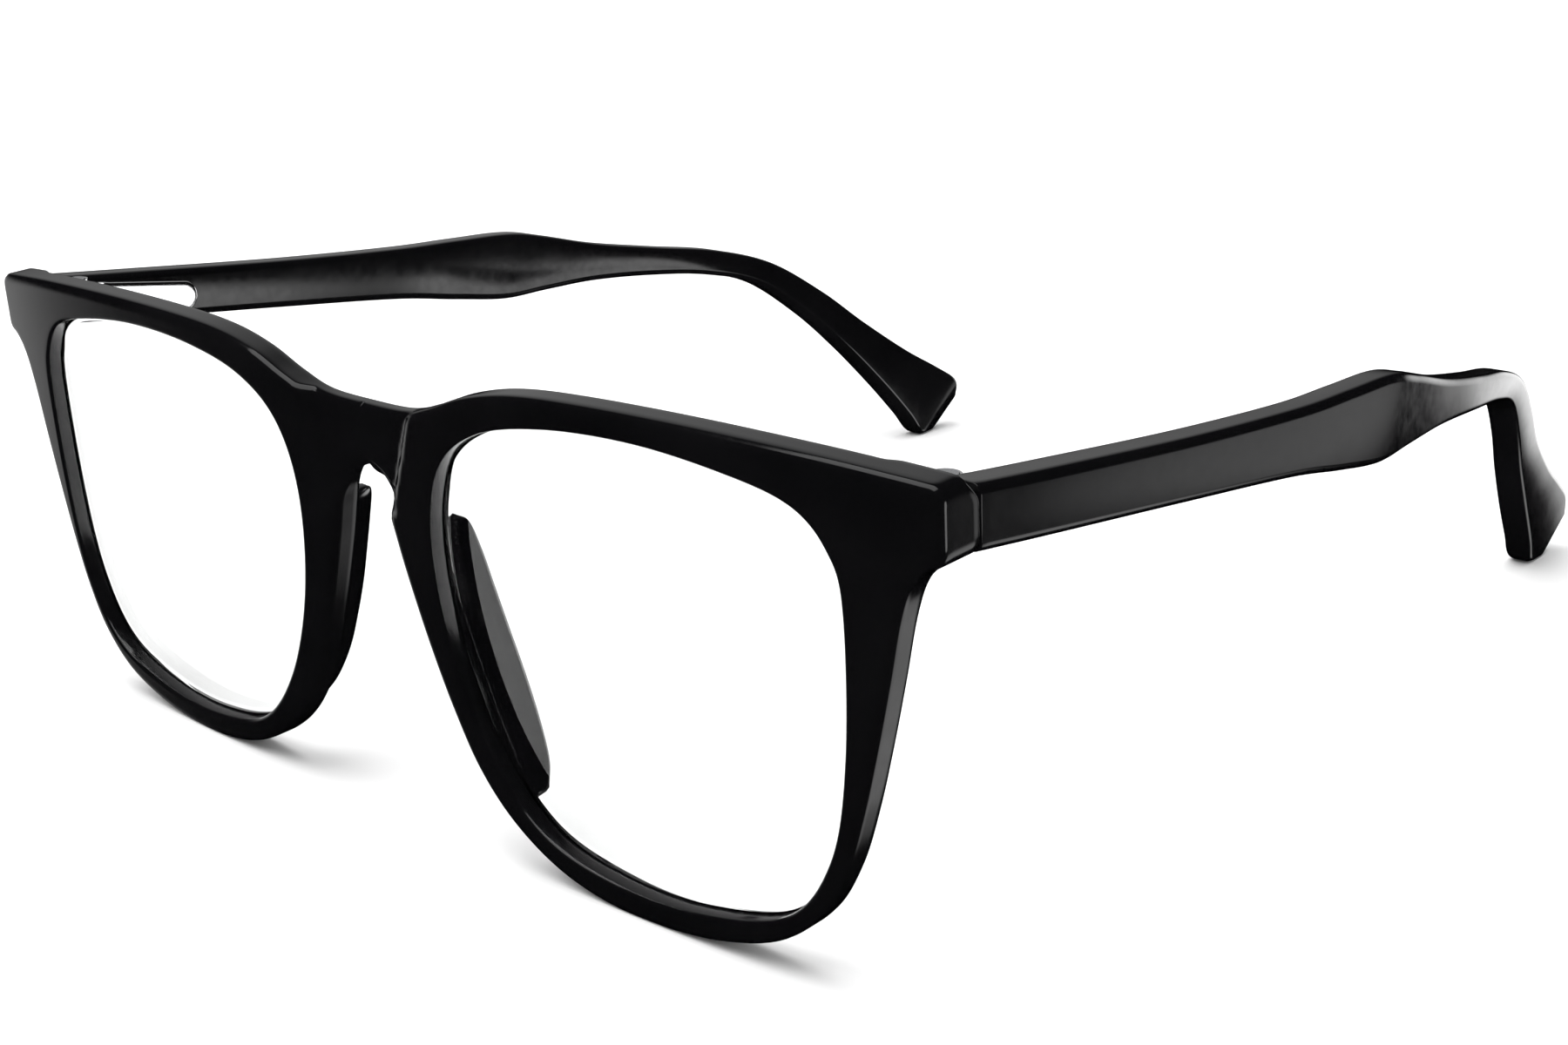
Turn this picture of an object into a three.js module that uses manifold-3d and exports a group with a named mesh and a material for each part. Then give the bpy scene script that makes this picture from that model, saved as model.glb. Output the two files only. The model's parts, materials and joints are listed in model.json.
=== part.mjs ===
// A pair of full-rim acetate eyeglasses with spring hinges, standing open on a table.
// Units are millimetres. +Z is up, the wearer looks along -Y, and the wearer's left side is +X.
//
// Three frames are used inside the assembly:
// - the front's frame: X across, Y backwards from the front face, Z up the front, with its
//   origin on the front face, midway between the lenses and at the height of their centres;
// - a hinge's frame: parallel to the front's, with its origin on the hinge axis, which is its Z;
// - a temple's frame: the hinge's frame turned down until Y runs along the temple's straight part.
// Hinge and temple are drawn for the +X side and mirrored for -X.

import * as THREE from 'three';
import { mergeVertices } from 'three/addons/utils/BufferGeometryUtils.js';
import Module from 'manifold-3d';

// ---------------------------------------------------------------- driving dimensions

const HALF_WIDTH = 65.8;        // from the middle to an end piece's outer side
const FRONT_THICKNESS = 3.5;
const FRONT_BEVEL = 0.6;
const SWEEP_END = 0.8;          // how far the end pieces are swept back
const SWEEP_BASE = 2.3;         // how far the whole front is bowed
const SWEEP_POWER = 8;          // the higher, the more the sweep is kept to the end pieces

const END_TOP = 22.6;           // height of an end piece's outer corners
const END_BOTTOM = 16.2;
const END_SEAM_TOP = 21.6;      // height of the end piece's top where it meets the temple
const END_SLOPE_Y = 5;          // where its top starts to slope down to there

// The front's upper edge, from the middle of the bridge to the end piece.
const BROW = [
  [0, 18.8], [6.2, 19.0], [10.6, 20.2], [15.5, 22.0], [21.5, 23.2], [30, 23.7],
  [42, 23.8], [54, 23.5], [62, 23.0], [HALF_WIDTH, END_TOP],
];

// The front's lower edge, from the end piece round the rim to the middle of the bridge's arch.
const RIM = [
  [HALF_WIDTH, END_BOTTOM], [64.2, 15.7], [62.7, 14.0], [61.6, 10.7], [60.5, 5.3], [59.2, -0.6],
  [57.7, -6.6], [55.9, -12.1], [53.2, -16.9], [48.8, -20.6], [42.7, -22.7], [36.1, -23.6],
  [29.3, -23.5], [22.9, -22.0], [17.3, -18.8], [13.2, -14.5], [10.2, -9], [7.7, -3],
  [5.5, 3.4], [4.3, 7.6], [3.5, 10.3], [2.1, 12.1], [0, 12.8],
];

// The lens opening on the +X side, a closed curve.
const OPENING = [
  [56.9, 11.2], [55.6, 16.0], [52.2, 19.1], [45.5, 20.6], [36.1, 21.4], [25.9, 20.9], [17.3, 19.0],
  [11.9, 15.0], [9.8, 7.8], [11.0, -2.4], [15.1, -12.1], [21.5, -18.7], [30.8, -20.9],
  [40.6, -20.5], [49.9, -17.7], [54.7, -11.2], [56.6, -1.6],
];

const LENS_THICKNESS = 1.4;
const LENS_MIDDLE = 2.3;        // how far the lens's middle is behind the front face
const LENS_EDGE = 0.3;          // width of the flat on the lens's V edge
const LENS_GRIP = 0.55;         // how far the V edge reaches into the rim
const LENS_V = 0.95;            // depth of the V edge
const GROOVE_THICKNESS = 1.9;
const GROOVE_EDGE = 0.7;
const GROOVE_GRIP = 0.9;
const GROOVE_V = 1.1;

const SADDLE_HALF_WIDTH = 7.2;  // the bridge's face is set back from the rims
const SADDLE_DEPTH = 1.2;
const SADDLE_BOTTOM = 11;
const SADDLE_TOP = 22;

// A nose pad, from its top down: [height, centre x, width, how far back it reaches].
const PAD_STATIONS = [
  [8.0, 6.3, 1.9, 6.4], [7.2, 6.6, 2.6, 7.3], [4.5, 7.6, 3.0, 7.6], [1, 8.8, 3.3, 7.7],
  [-3, 10.2, 3.5, 7.8], [-7, 11.8, 3.5, 7.8], [-11, 13.5, 3.3, 7.6], [-14.5, 15.4, 2.9, 6.9],
  [-16.6, 16.9, 2.1, 5.6],
];
const PAD_SECTION_POINTS = 12;

const FIT_GAP = 0.3;            // between pieces that touch on the real object
const RUN_GAP = 0.08;           // between pieces that slide or turn on each other

const PIVOT = new THREE.Vector3(61.2, 9.6, 19);
const TEMPLE_DROP = THREE.MathUtils.degToRad(11.6);   // the temples' slope below the front's normal
const SEAM_Y = -1.7;            // the joint face between end piece and temple, in the hinge's frame
const END_INNER_X = 58.9;       // where the end piece starts to stand back from the rim

const BARREL_RADIUS = 1.45;
const BARREL_HEIGHT = 4.2;      // both knuckles and the eye between them
const EYE_HEIGHT = 1.5;
const NECK_HALF_HEIGHT = 0.5;
const SCREW_RADIUS = 0.65;
const SCREW_HEAD_RADIUS = 1.15;
const SCREW_HEAD_HEIGHT = 0.5;
const PLATE_THICKNESS = 0.7;
const PLATE_HALF_HEIGHT = 2.3;
const PLATE_X = [-1.7, 3.4];
const ANCHOR_DEPTH = 2.2;
const ANCHOR_X = [-0.6, 2.2];
const ANCHOR_HALF_HEIGHT = 1.2;
const OVERLAP = 0.1;            // how far joined shapes run into each other

const HOUSING_Y = [2.1, 15.6];
const HOUSING_X = [-1.0, 2.9];  // from its bright inner face to the bottom of its seat
const HOUSING_HALF_HEIGHT = 1.75;
const ROD_RADIUS = 0.45;
const BORE_RADIUS = 1.1;
const BORE_END = 13.4;
const ROD_X = 0.95;             // the bore's axis, beside the hinge axis
const NECK_X = [-0.35, 1.75];
const SPRING_WIRE_RADIUS = 0.16;
const SPRING_RADIUS = 0.78;
const SPRING_TURNS = 9;
const SPRING_Y = [3.5, 8.1];      // at its shortest, when the slider is pulled right out
const STOP_Y = [9.8, 11.0];

// The temple in its own frame, drawn from its front end to its tip:
// [top y, top z, bottom y, bottom z, outer side x, thickness].
const TEMPLE_STATIONS = [
  [-1.9, 2.3, -0.8, -3.2, 4.6, 3.8],
  [9.2, 2.8, 9.2, -2.8, 4.6, 3.8],
  [29.2, 3.8, 29.2, -2.0, 4.4, 3.7],
  [47.2, 5.1, 47.2, -1.4, 4.1, 3.6],
  [57.2, 6.2, 57.2, -1.6, 3.7, 3.6],
  [66.0, 7.1, 65.4, -1.6, 3.2, 3.6],
  [72.4, 6.7, 72.2, -0.5, 2.6, 3.5],
  [80.9, 5.8, 80.9, 0.8, 1.7, 3.4],
  [91.2, 5.4, 91.1, 1.5, 0.4, 3.4],
  [101.6, 5.1, 100.1, 1.6, -1.3, 3.4],
  [111.3, 3.5, 108.5, 0.4, -3.4, 3.4],
  [120.6, -0.6, 117.2, -4.1, -5.8, 3.4],
  [128.5, -5.1, 124.5, -9.2, -7.8, 3.5],
  [137.2, -9.4, 131.7, -14.8, -9.4, 3.6],
  [144.2, -12.2, 137.2, -19.4, -10.5, 3.5],
  [148.6, -14.2, 140.4, -22.3, -11.2, 3.2],
  [149.9, -16.5, 144.0, -22.3, -11.5, 2.2],
];
const TEMPLE_STEPS_PER_STATION = 3;
const TEMPLE_BEVEL = 0.7;

const CORE_RADIUS = 0.6;
const CORE_BORE_RADIUS = 0.95;
const CORE_Y = [HOUSING_Y[1] + 0.8, 117];
const NOTCH_Y = 2.2;            // the temple is cut back to here, inside, beside the barrel
const NOTCH_X = 2.1;

const REST_TILT_CONTACTS = { rim: [2.3, -23.6], tip: [146.2, -31.8] };   // [y, z] in the front's frame
const CONTACT_SINK = 0.12;      // how much is flattened where rims and tips meet the table

const OUTLINE_STEPS = 3;        // straight steps between two points of an outline
const ROUND_SIDES = 20;

// ---------------------------------------------------------------- materials

const acetate = new THREE.MeshStandardMaterial({ color: 0x0b0b0e, roughness: 0.12, metalness: 0 });
const clearLens = new THREE.MeshStandardMaterial({
  color: 0xf2f6f5, roughness: 0.03, metalness: 0, transparent: true, opacity: 0.25,
});
const hingeSteel = new THREE.MeshStandardMaterial({ color: 0xd6d6d8, roughness: 0.18, metalness: 1 });
const springSteel = new THREE.MeshStandardMaterial({ color: 0x8f9398, roughness: 0.35, metalness: 1 });

// ---------------------------------------------------------------- solids

const wasm = await Module();
wasm.setup();

function toSolid(geometry) {
  const bare = geometry.clone();
  bare.deleteAttribute('normal');
  bare.deleteAttribute('uv');
  const merged = mergeVertices(bare, 1e-4);
  return new wasm.Manifold(new wasm.Mesh({
    numProp: 3,
    vertProperties: Float32Array.from(merged.attributes.position.array),
    triVerts: Uint32Array.from(merged.index.array),
  }));
}

function toGeometry(solid) {
  const mesh = solid.getMesh();
  const geometry = new THREE.BufferGeometry();
  geometry.setAttribute('position', new THREE.BufferAttribute(mesh.vertProperties, 3));
  geometry.setIndex(new THREE.BufferAttribute(mesh.triVerts, 1));
  return geometry;
}

// Joins the first geometry with `added` and then takes `removed` away from it.
function combine(first, added = [], removed = []) {
  let solid = toSolid(first);
  for (const geometry of added) {
    solid = solid.add(toSolid(geometry));
  }
  for (const geometry of removed) {
    solid = solid.subtract(toSolid(geometry));
  }
  return toGeometry(solid);
}

function mirrored(geometry) {
  const copy = geometry.index ? geometry.clone() : mergeVertices(geometry);
  copy.scale(-1, 1, 1);
  const index = copy.index.array;
  for (let i = 0; i < index.length; i += 3) {
    [index[i], index[i + 1]] = [index[i + 1], index[i]];
  }
  return copy;
}

// ---------------------------------------------------------------- outlines

function smoothLine(points, closed = false) {
  const vectors = points.map(([x, y]) => new THREE.Vector3(x, y, 0));
  const curve = new THREE.CatmullRomCurve3(vectors, closed, 'catmullrom', 0.5);
  const spans = closed ? points.length : points.length - 1;
  const count = spans * OUTLINE_STEPS;
  const samples = [];
  for (let i = 0; i < count + (closed ? 0 : 1); i++) {
    const point = curve.getPoint(i / count);
    samples.push(new THREE.Vector2(point.x, point.y));
  }
  return samples;
}

// Repeats a run that ends on the middle line on the other side of it.
function acrossTheMiddle(run) {
  const other = run.slice(0, -1).reverse().map(([x, y]) => [-x, y]);
  return [...run, ...other];
}

function frontOutline() {
  const brow = smoothLine(acrossTheMiddle([...BROW].reverse()));
  const rims = smoothLine(acrossTheMiddle(RIM)).reverse();
  return [...brow, ...rims];
}

function offsetOutline(points, distance) {
  const direction = THREE.ShapeUtils.isClockWise(points) ? -1 : 1;
  return points.map((point, i) => {
    const before = points[(i + points.length - 1) % points.length];
    const after = points[(i + 1) % points.length];
    const along = after.clone().sub(before).normalize();
    const outward = new THREE.Vector2(along.y, -along.x).multiplyScalar(direction * distance);
    return point.clone().add(outward);
  });
}

// A plate with chamfered edges whose outline is drawn in X and Z and whose faces are at
// y = middle - thickness / 2 and y = middle + thickness / 2.
function plate(outline, holes, thickness, chamferDepth, chamferWidth, middle) {
  const shape = new THREE.Shape(outline);
  shape.holes = holes.map((hole) => new THREE.Path(hole));
  const geometry = new THREE.ExtrudeGeometry(shape, {
    depth: thickness - 2 * chamferDepth,
    bevelThickness: chamferDepth,
    bevelSize: chamferWidth,
    bevelOffset: -chamferWidth,
    bevelSegments: 1,
  });
  geometry.rotateX(Math.PI / 2);
  geometry.translate(0, middle + thickness / 2 - chamferDepth, 0);
  return geometry;
}

// An upright prism whose outline is drawn in X and Y.
function prism(points, bottom, top) {
  const outline = points.map(([x, y]) => new THREE.Vector2(x, y));
  const geometry = new THREE.ExtrudeGeometry(new THREE.Shape(outline), {
    depth: top - bottom,
    bevelEnabled: false,
  });
  geometry.translate(0, 0, bottom);
  return geometry;
}

function box(low, high) {
  const geometry = new THREE.BoxGeometry(high[0] - low[0], high[1] - low[1], high[2] - low[2]);
  geometry.translate((low[0] + high[0]) / 2, (low[1] + high[1]) / 2, (low[2] + high[2]) / 2);
  return geometry;
}

// A round bar along Z.
function uprightBar(x, y, bottom, top, radius) {
  const geometry = new THREE.CylinderGeometry(radius, radius, top - bottom, ROUND_SIDES);
  geometry.rotateX(Math.PI / 2);
  geometry.translate(x, y, (top + bottom) / 2);
  return geometry;
}

// A round bar along Y.
function lengthwiseBar(x, z, from, to, radius) {
  const geometry = new THREE.CylinderGeometry(radius, radius, to - from, ROUND_SIDES);
  geometry.translate(x, (from + to) / 2, z);
  return geometry;
}

// A closed skin over rings of points, each ring with the same number of points.
function loft(rings) {
  const count = rings[0].length;
  const positions = rings.flat().flatMap((point) => point.toArray());
  const index = [];
  for (let ring = 0; ring < rings.length - 1; ring++) {
    for (let i = 0; i < count; i++) {
      const a = ring * count + i;
      const b = ring * count + (i + 1) % count;
      index.push(a, b, b + count, a, b + count, a + count);
    }
  }
  const last = (rings.length - 1) * count;
  for (let i = 1; i < count - 1; i++) {
    index.push(0, i + 1, i);
    index.push(last, last + i, last + i + 1);
  }
  const geometry = new THREE.BufferGeometry();
  geometry.setAttribute('position', new THREE.BufferAttribute(new Float32Array(positions), 3));
  geometry.setIndex(index);
  return geometry;
}

// ---------------------------------------------------------------- the front

function sweepAt(x) {
  const share = Math.abs(x) / HALF_WIDTH;
  return SWEEP_END * share ** SWEEP_POWER + SWEEP_BASE * share ** 2;
}

function swept(geometry) {
  const positions = geometry.attributes.position;
  for (let i = 0; i < positions.count; i++) {
    positions.setY(i, positions.getY(i) + sweepAt(positions.getX(i)));
  }
  return geometry;
}

function openingOutline(side) {
  const points = smoothLine(OPENING, true);
  return points.map((point) => new THREE.Vector2(side * point.x, point.y));
}

function lensShape(side, grip, v, edge, thickness) {
  const outline = offsetOutline(openingOutline(side), grip);
  const chamferDepth = (thickness - edge) / 2;
  return plate(outline, [], thickness, chamferDepth, v, LENS_MIDDLE);
}

function lens(side) {
  return swept(lensShape(side, LENS_GRIP, LENS_V, LENS_EDGE, LENS_THICKNESS));
}

function lensGroove(side) {
  return lensShape(side, GROOVE_GRIP, GROOVE_V, GROOVE_EDGE, GROOVE_THICKNESS);
}

// The hollow that sets the bridge's face back between the rims.
function saddleCut() {
  const w = SADDLE_HALF_WIDTH;
  const d = SADDLE_DEPTH;
  const flank = [[w, 0], [w - 0.5, 0.5], [w - 1.6, d]];
  const otherFlank = flank.map(([x, y]) => [-x, y]).reverse();
  const outline = [[-w, -1], [w, -1], ...flank, ...otherFlank];
  return prism(outline, SADDLE_BOTTOM, SADDLE_TOP);
}

// Places a geometry drawn in the hinge's frame in the front's frame.
function fromHingeFrame(geometry) {
  return geometry.clone().translate(PIVOT.x, PIVOT.y, PIVOT.z);
}

// The thick back of the end piece, which carries the joint face for the temple. Its top slopes
// down to the temple's.
function endBlock() {
  const seam = PIVOT.y + SEAM_Y;
  const inFront = (x) => sweepAt(x) + FRONT_THICKNESS / 2;
  const plan = [
    [END_INNER_X, inFront(END_INNER_X)], [HALF_WIDTH - 2, inFront(HALF_WIDTH - 2)],
    [HALF_WIDTH, inFront(HALF_WIDTH)], [HALF_WIDTH, seam],
    [END_INNER_X + 0.6, seam], [END_INNER_X, seam - 0.6],
  ];
  const block = prism(plan, END_BOTTOM, END_TOP - OVERLAP);
  const aboveSlope = [
    [END_SLOPE_Y, END_TOP], [END_SLOPE_Y, END_TOP - OVERLAP], [seam, END_SEAM_TOP],
    [seam + 1, END_SEAM_TOP], [seam + 1, END_TOP],
  ];
  const wedge = prism(aboveSlope, END_INNER_X - 1, HALF_WIDTH + 1);
  wedge.applyMatrix4(new THREE.Matrix4().makeBasis(
    new THREE.Vector3(0, 1, 0),
    new THREE.Vector3(0, 0, 1),
    new THREE.Vector3(1, 0, 0),
  ));
  return combine(block, [], [wedge]);
}

function hingePocket() {
  const gap = FIT_GAP / 3;
  const seat = box(
    [PLATE_X[0] - gap, SEAM_Y - PLATE_THICKNESS - gap, -PLATE_HALF_HEIGHT - gap],
    [PLATE_X[1] + gap, SEAM_Y + 1, PLATE_HALF_HEIGHT + gap],
  );
  const anchor = box(
    [ANCHOR_X[0] - gap, SEAM_Y - PLATE_THICKNESS - ANCHOR_DEPTH - gap, -ANCHOR_HALF_HEIGHT - gap],
    [ANCHOR_X[1] + gap, SEAM_Y, ANCHOR_HALF_HEIGHT + gap],
  );
  return combine(fromHingeFrame(seat), [fromHingeFrame(anchor)]);
}

function frontFrame() {
  const holes = [openingOutline(1), openingOutline(-1)];
  const blank = plate(frontOutline(), holes, FRONT_THICKNESS, FRONT_BEVEL, FRONT_BEVEL, FRONT_THICKNESS / 2);
  const grooved = swept(combine(blank, [], [lensGroove(1), lensGroove(-1)]));
  const block = endBlock();
  const pocket = hingePocket();
  return combine(grooved, [block, mirrored(block)], [saddleCut(), pocket, mirrored(pocket)]);
}

function nosePad() {
  const rings = PAD_STATIONS.map(([z, x, width, back]) => {
    const base = FRONT_THICKNESS + sweepAt(x + width / 2) + FIT_GAP / 3;
    const ring = [];
    for (let i = 0; i < PAD_SECTION_POINTS; i++) {
      const angle = Math.PI * i / (PAD_SECTION_POINTS - 1);
      const lean = 0.25 * Math.sin(angle) * (back - base);
      const px = x + width / 2 * Math.cos(angle) + lean;
      ring.push(new THREE.Vector3(px, base + (back - base) * Math.sin(angle), z));
    }
    return ring;
  });
  return loft(rings.reverse());
}

// ---------------------------------------------------------------- the hinge, on the front

function frontHinge() {
  const seatY = SEAM_Y - PLATE_THICKNESS;
  const plateBody = box(
    [PLATE_X[0], seatY, -PLATE_HALF_HEIGHT],
    [PLATE_X[1], SEAM_Y - OVERLAP, PLATE_HALF_HEIGHT],
  );
  const anchor = box(
    [ANCHOR_X[0], seatY - ANCHOR_DEPTH, -ANCHOR_HALF_HEIGHT],
    [ANCHOR_X[1], seatY + OVERLAP, ANCHOR_HALF_HEIGHT],
  );
  const half = BARREL_HEIGHT / 2;
  const ears = uprightBar(0, 0, -half, half, BARREL_RADIUS);
  const web = box([-BARREL_RADIUS, SEAM_Y - 0.3, -half], [BARREL_RADIUS, 0, half]);
  const slotHalf = EYE_HEIGHT / 2 + RUN_GAP;
  const slot = box([-3, SEAM_Y - 0.08, -slotHalf], [3.6, 3, slotHalf]);
  const hole = uprightBar(0, 0, -half - 1, half + 1, SCREW_RADIUS + RUN_GAP);
  const sink = uprightBar(0, 0, half - SCREW_HEAD_HEIGHT, half + 1, SCREW_HEAD_RADIUS + RUN_GAP);
  return combine(plateBody, [anchor, ears, web], [slot, hole, sink]);
}

function hingeScrew() {
  const half = BARREL_HEIGHT / 2;
  const shank = uprightBar(0, 0, -half, half, SCREW_RADIUS);
  const headBottom = half - SCREW_HEAD_HEIGHT + RUN_GAP;
  const head = uprightBar(0, 0, headBottom, half + 0.1, SCREW_HEAD_RADIUS);
  const slot = box([-2, -0.15, half - 0.1], [2, 0.15, half + 1]);
  return combine(shank, [head], [slot]);
}

// ---------------------------------------------------------------- the hinge, on the temple

// The eye on the screw, its neck, and the rod that the spring is threaded on. The eye is
// square to the hinge axis, and the neck and rod follow the temple.
function springSlider() {
  const half = EYE_HEIGHT / 2;
  const eye = uprightBar(0, 0, -half, half, BARREL_RADIUS - RUN_GAP).rotateX(TEMPLE_DROP);
  const hole = uprightBar(0, 0, -half - 1, half + 1, SCREW_RADIUS + RUN_GAP).rotateX(TEMPLE_DROP);
  const neck = box([NECK_X[0], 0, -NECK_HALF_HEIGHT], [NECK_X[1], HOUSING_Y[0] + 0.9, NECK_HALF_HEIGHT]);
  const rod = lengthwiseBar(ROD_X, 0, HOUSING_Y[0] + 0.8, STOP_Y[1] + 0.3, ROD_RADIUS);
  return combine(eye, [neck, rod], [hole]);
}

function returnSpring() {
  const turnSteps = 10;
  const wireSides = 6;
  class Helix extends THREE.Curve {
    getPoint(t) {
      const angle = 2 * Math.PI * SPRING_TURNS * t;
      const y = THREE.MathUtils.lerp(SPRING_Y[0], SPRING_Y[1], t);
      return new THREE.Vector3(ROD_X + SPRING_RADIUS * Math.cos(angle), y, SPRING_RADIUS * Math.sin(angle));
    }
  }
  const wire = new THREE.Shape();
  for (let i = 0; i < wireSides; i++) {
    const angle = 2 * Math.PI * i / wireSides;
    const point = [SPRING_WIRE_RADIUS * Math.cos(angle), SPRING_WIRE_RADIUS * Math.sin(angle)];
    if (i === 0) {
      wire.moveTo(...point);
    } else {
      wire.lineTo(...point);
    }
  }
  return new THREE.ExtrudeGeometry(wire, {
    steps: SPRING_TURNS * turnSteps,
    extrudePath: new Helix(),
    bevelEnabled: false,
  });
}

// The collar on the rod's end, which the spring pushes against.
function springStop() {
  const collar = lengthwiseBar(ROD_X, 0, STOP_Y[0], STOP_Y[1], SPRING_RADIUS + 0.15);
  const hole = lengthwiseBar(ROD_X, 0, STOP_Y[0] - 1, STOP_Y[1] + 1, ROD_RADIUS + RUN_GAP);
  return combine(collar, [], [hole]);
}

// A pill-shaped block: square at the hinge, round at the other end.
function pill(grow, frontY, rearY, lowX, highX) {
  const h = HOUSING_HALF_HEIGHT + grow;
  const shape = new THREE.Shape();
  shape.moveTo(frontY, -h);
  shape.lineTo(rearY - h, -h);
  shape.absarc(rearY - h, 0, h, -Math.PI / 2, Math.PI / 2, false);
  shape.lineTo(frontY, h);
  shape.closePath();
  const geometry = new THREE.ExtrudeGeometry(shape, {
    depth: highX - lowX,
    bevelEnabled: false,
    curveSegments: 8,
  });
  geometry.applyMatrix4(new THREE.Matrix4().makeBasis(
    new THREE.Vector3(0, 1, 0),
    new THREE.Vector3(0, 0, 1),
    new THREE.Vector3(1, 0, 0),
  ));
  geometry.translate(lowX, 0, 0);
  return geometry;
}

function springHousing() {
  const body = pill(0, HOUSING_Y[0], HOUSING_Y[1], HOUSING_X[0], HOUSING_X[1]);
  const frontWall = HOUSING_Y[0] + 1.1;
  const bore = lengthwiseBar(ROD_X, 0, frontWall, BORE_END, BORE_RADIUS);
  const half = NECK_HALF_HEIGHT + RUN_GAP;
  const mouth = box([NECK_X[0] - RUN_GAP, 0, -half], [NECK_X[1] + RUN_GAP, frontWall + 0.1, half]);
  return combine(body, [], [bore, mouth]);
}

// ---------------------------------------------------------------- the temple, in its own frame

function templeSpline() {
  const edge = (column) => new THREE.CatmullRomCurve3(
    TEMPLE_STATIONS.map((row) => new THREE.Vector3(row[column], row[column + 1], row[column + 2])),
    false, 'catmullrom', 0.5,
  );
  const topAndBottomY = edge(0);   // top y, top z, bottom y
  const rest = edge(3);            // bottom z, outer side x, thickness
  return (t) => {
    const a = topAndBottomY.getPoint(t);
    const b = rest.getPoint(t);
    return { top: [a.x, a.y], bottom: [a.z, b.x], outer: b.y, thickness: b.z };
  };
}

// An eight-sided section with chamfered corners between the temple's top and bottom edges.
function templeRing({ top, bottom, outer, thickness }) {
  const height = Math.hypot(top[0] - bottom[0], top[1] - bottom[1]);
  const chamfer = Math.min(TEMPLE_BEVEL, height / 4, thickness / 4);
  const inner = outer - thickness;
  const share = chamfer / height;
  const corners = [
    [outer - chamfer, 0], [outer, share], [outer, 1 - share], [outer - chamfer, 1],
    [inner + chamfer, 1], [inner, 1 - share], [inner, share], [inner + chamfer, 0],
  ];
  return corners.map(([x, up]) => new THREE.Vector3(
    x,
    THREE.MathUtils.lerp(bottom[0], top[0], up),
    THREE.MathUtils.lerp(bottom[1], top[1], up),
  ));
}

function templeBlank() {
  const section = templeSpline();
  const steps = (TEMPLE_STATIONS.length - 1) * TEMPLE_STEPS_PER_STATION;
  const rings = [];
  for (let i = 0; i <= steps; i++) {
    rings.push(templeRing(section(i / steps)));
  }
  return loft(rings.reverse());
}

function coreWire(radius, fromY, toY) {
  const section = templeSpline();
  const points = [new THREE.Vector3(ROD_X + 1.4, fromY, 0)];
  const stationCount = TEMPLE_STATIONS.length;
  for (let i = 2; i < stationCount; i++) {
    const { top, bottom, outer, thickness } = section(i / (stationCount - 1));
    const y = (top[0] + bottom[0]) / 2;
    if (y < toY) {
      points.push(new THREE.Vector3(outer - thickness / 2, y, (top[1] + bottom[1]) / 2));
    }
  }
  const sides = 10;
  const wire = new THREE.Shape();
  wire.setFromPoints(Array.from({ length: sides }, (_, i) => {
    const angle = 2 * Math.PI * i / sides;
    return new THREE.Vector2(radius * Math.cos(angle), radius * Math.sin(angle));
  }));
  return new THREE.ExtrudeGeometry(wire, {
    steps: 24,
    extrudePath: new THREE.CatmullRomCurve3(points, false, 'catmullrom', 0.5),
    bevelEnabled: false,
  });
}

function temple() {
  const gap = FIT_GAP / 2;
  const seat = pill(gap, HOUSING_Y[0] - 4, HOUSING_Y[1] + gap, HOUSING_X[0] - 2, HOUSING_X[1] + gap);
  const notch = box([-2, SEAM_Y - 1, -6], [NOTCH_X, NOTCH_Y, 6]);
  const coreBore = coreWire(CORE_BORE_RADIUS, HOUSING_Y[1] - 1, CORE_Y[1] + 1);
  return combine(templeBlank(), [], [seat, notch, coreBore]);
}

// ---------------------------------------------------------------- the assembly

function named(name, geometry, material) {
  const mesh = new THREE.Mesh(geometry, material);
  mesh.name = name;
  return mesh;
}

// The angle and height at which the open glasses stand on their rims and temple tips.
function restingPose() {
  const [rimY, rimZ] = REST_TILT_CONTACTS.rim;
  const [tipY, tipZ] = REST_TILT_CONTACTS.tip;
  const tilt = Math.atan2(rimZ - tipZ, tipY - rimY);
  const lift = -(rimY * Math.sin(tilt) + rimZ * Math.cos(tilt)) - CONTACT_SINK;
  return { tilt, lift };
}

const pose = restingPose();
const eyewear = new THREE.Group();
eyewear.rotation.x = pose.tilt;
eyewear.position.z = pose.lift;
eyewear.updateMatrixWorld(true);

// Takes away what would be below the table, which leaves small flats on rims and tips.
function flattened(geometry, matrix) {
  const table = box([-200, -200, -20], [200, 400, 0]);
  const placed = geometry.clone().applyMatrix4(matrix);
  return toGeometry(toSolid(placed).subtract(toSolid(table))).applyMatrix4(matrix.clone().invert());
}

eyewear.add(named('front_frame', flattened(frontFrame(), eyewear.matrixWorld), acetate));

const hingePieces = [
  ['front_hinge', frontHinge(), hingeSteel],
  ['hinge_screw', hingeScrew(), springSteel],
];
const templePieces = [
  ['spring_slider', springSlider(), hingeSteel],
  ['return_spring', returnSpring(), springSteel],
  ['spring_stop', springStop(), springSteel],
  ['spring_housing', springHousing(), hingeSteel],
  ['core_wire', coreWire(CORE_RADIUS, CORE_Y[0], CORE_Y[1]), springSteel],
];
const templeShape = temple();
const padShape = nosePad();

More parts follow.
